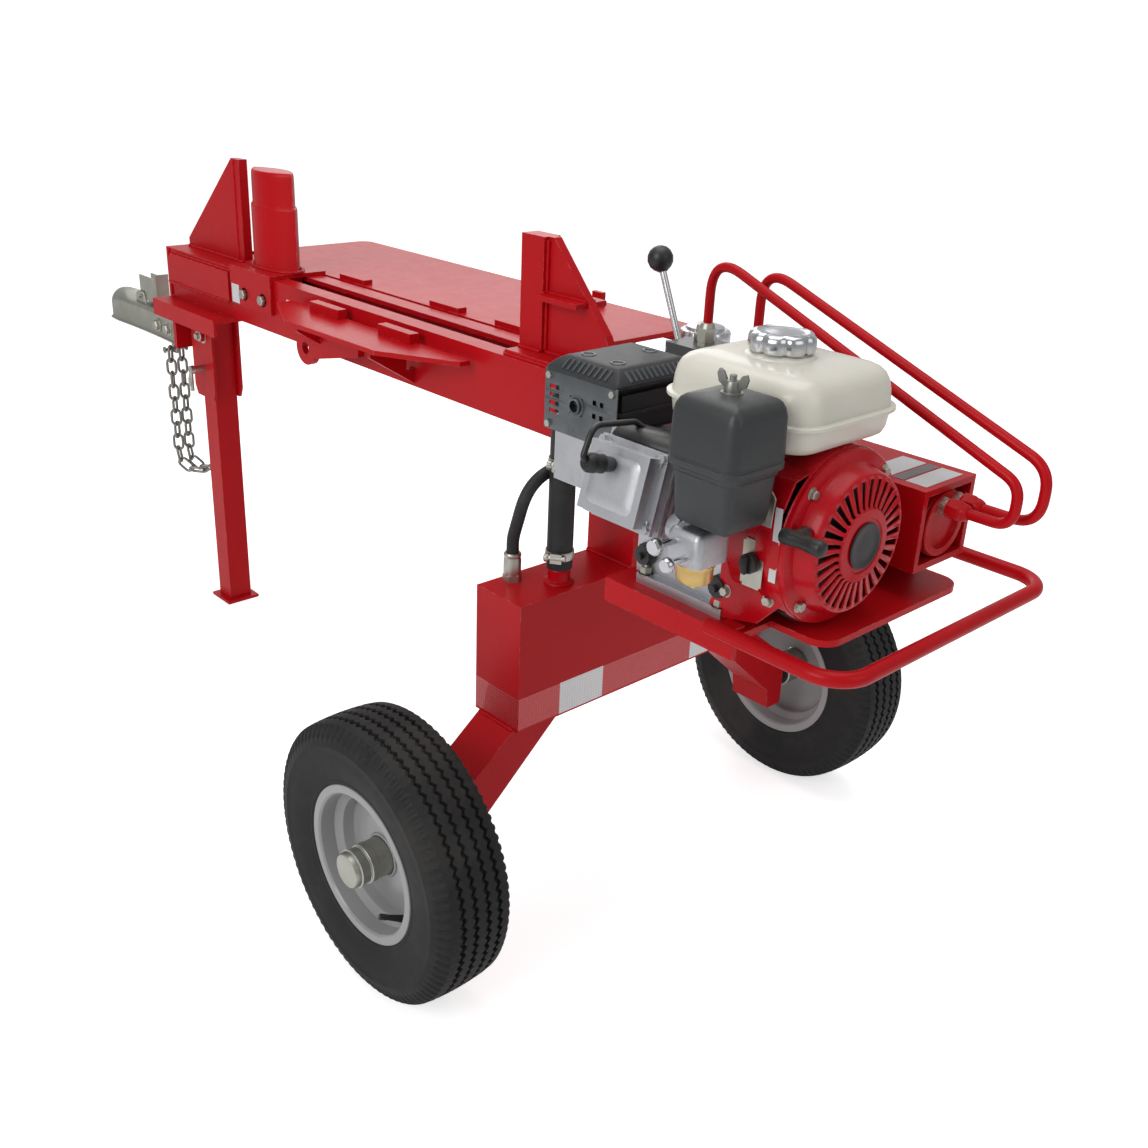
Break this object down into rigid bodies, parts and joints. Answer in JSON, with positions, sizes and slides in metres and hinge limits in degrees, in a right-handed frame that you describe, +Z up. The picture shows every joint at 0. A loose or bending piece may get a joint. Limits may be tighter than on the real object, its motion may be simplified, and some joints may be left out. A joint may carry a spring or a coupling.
{
  "type": "log splitter",
  "caption": "Tow-behind hydraulic log splitter with a two-way wedge on a box beam, small engine and gear pump, log tables, ball coupler and folding jack leg.",
  "frame": {"origin": "on the ground under the beam centre line, midway between the two wheels", "axes": "+X forward to the hitch, +Y to the left wheel, +Z up"},
  "size_m": [2.3317, 1.028, 0.985],
  "materials": {
    "red": "gloss red paint",
    "shroud": "gloss crimson paint",
    "zinc": "zinc plated, satin",
    "steel": "bright machined",
    "chrome": "polished",
    "cyl": "satin black paint",
    "iron": "dark painted casting",
    "alu": "die cast, satin",
    "hose": "matt rubber",
    "dark": "heat-proof matt black",
    "plastic": "moulded charcoal",
    "ivory": "moulded ivory",
    "rimpaint": "light grey paint",
    "tyre": "ribbed rubber"
  },
  "bodies": {
    "frame": {"main_beam": "red", "front_anvil": "red", "rear_anvil": "red", "log_table": "red", "side_wing": "red", "axle_tank": "red", "drop_legs": "red", "spindles": "zinc", "engine_plate": "red", "guard_bar": "red", "cylinder_barrel": "cyl", "cylinder_base": "cyl", "cylinder_gland": "steel", "hard_tubes": "red", "tube_fittings": "zinc", "valve_body": "iron", "filler_neck": "red", "suction_hose": "hose", "pressure_hose": "hose", "return_hose": "hose", "hose_clamps": "zinc", "gear_pump": "alu", "pump_bracket": "alu", "engine_block": "alu", "valve_cover": "alu", "fan_shroud": "shroud", "recoil_cover": "shroud", "muffler": "dark", "muffler_shield": "dark", "air_cleaner_base": "plastic", "air_cleaner_cover": "plastic", "carburettor": "alu", "fuel_tank": "ivory", "spark_plug": "plastic", "coupler_body": "zinc", "leg_bracket": "red", "safety_chain": "zinc"},
    "ram": {"wedge": "red", "wedge_slide": "red", "cylinder_rod": "chrome", "piston": "steel"},
    "wheel_left": {"rim_left": "rimpaint", "tyre_left": "tyre", "hub_left": "zinc"},
    "wheel_right": {"rim_right": "rimpaint", "tyre_right": "tyre", "hub_right": "zinc"},
    "jack_leg_body": {"jack_leg": "red"},
    "lock_pin_body": {"lock_pin": "zinc"},
    "latch_body": {"coupler_latch": "zinc"},
    "clamp_body": {"coupler_clamp": "steel"},
    "lever_body": {"valve_lever": "steel"},
    "spool_body": {"valve_spool": "steel"},
    "fuel_cap_body": {"fuel_cap": "chrome"},
    "filler_cap_body": {"filler_cap": "chrome"},
    "wing_nut_body": {"wing_nut": "zinc"},
    "throttle_body": {"throttle_lever": "steel"},
    "switch_body": {"engine_switch": "plastic"},
    "handle_body": {"starter_handle": "plastic"},
    "crank_body": {"crankshaft": "steel"}
  },
  "joints": [
    {"name": "ram_slide", "type": "slide", "parent": "frame", "child": "ram", "axis": [1, 0, 0], "range_m": [-0.6, 0]},
    {"name": "wheel_left_spin", "type": "hinge", "parent": "frame", "child": "wheel_left", "pos_m": [0, 0.442, 0.203], "axis": [0, 1, 0], "continuous": true},
    {"name": "wheel_right_spin", "type": "hinge", "parent": "frame", "child": "wheel_right", "pos_m": [0, -0.442, 0.203], "axis": [0, 1, 0], "continuous": true},
    {"name": "jack_leg_fold", "type": "hinge", "parent": "frame", "child": "jack_leg_body", "pos_m": [1.262, 0, 0.615], "axis": [0, 1, 0], "range_deg": [0, 90]},
    {"name": "lock_pin_pull", "type": "slide", "parent": "frame", "child": "lock_pin_body", "axis": [0, 1, 0], "range_m": [0, 0.03]},
    {"name": "coupler_latch_lift", "type": "hinge", "parent": "frame", "child": "latch_body", "pos_m": [1.574, 0, 0.642], "axis": [0, 1, 0], "range_deg": [0, 60]},
    {"name": "coupler_clamp_swing", "type": "hinge", "parent": "frame", "child": "clamp_body", "pos_m": [1.642, 0, 0.606], "axis": [0, 1, 0], "range_deg": [0, 20]},
    {"name": "valve_lever_tilt", "type": "hinge", "parent": "frame", "child": "lever_body", "pos_m": [-0.046, -0.018, 0.852], "axis": [0, 1, 0], "range_deg": [-12, 12], "stiffness_Nm_per_rad": 20},
    {"name": "valve_spool_slide", "type": "slide", "parent": "frame", "child": "spool_body", "axis": [1, 0, 0], "range_m": [-0.006, 0.006]},
    {"name": "fuel_cap_turn", "type": "hinge", "parent": "frame", "child": "fuel_cap_body", "pos_m": [-0.378, 0.19, 0.955], "axis": [0, 0, 1], "continuous": true},
    {"name": "filler_cap_turn", "type": "hinge", "parent": "frame", "child": "filler_cap_body", "pos_m": [-0.02, -0.1, 0.855], "axis": [0, 0, 1], "continuous": true},
    {"name": "wing_nut_turn", "type": "hinge", "parent": "frame", "child": "wing_nut_body", "pos_m": [-0.43, 0.328, 0.94], "axis": [0, 0, 1], "continuous": true},
    {"name": "throttle_swing", "type": "hinge", "parent": "frame", "child": "throttle_body", "pos_m": [-0.44, 0.285, 0.8], "axis": [0, 1, 0], "range_deg": [-30, 30]},
    {"name": "engine_switch_turn", "type": "hinge", "parent": "frame", "child": "switch_body", "pos_m": [-0.44, 0.286, 0.745], "axis": [0, 1, 0], "range_deg": [0, 45]},
    {"name": "starter_pull", "type": "slide", "parent": "frame", "child": "handle_body", "axis": [0, 1, 0], "range_m": [0, 0.6], "stiffness_N_per_m": 40},
    {"name": "crank_spin", "type": "hinge", "parent": "frame", "child": "crank_body", "pos_m": [-0.3, 0.182, 0.761], "axis": [1, 0, 0], "continuous": true}
  ],
  "couplings": [
    {"joint": "coupler_clamp_swing", "follows": "coupler_latch_lift", "ratio": 0.33333},
    {"joint": "valve_spool_slide", "follows": "valve_lever_tilt", "m_per_rad": -0.022}
  ]
}
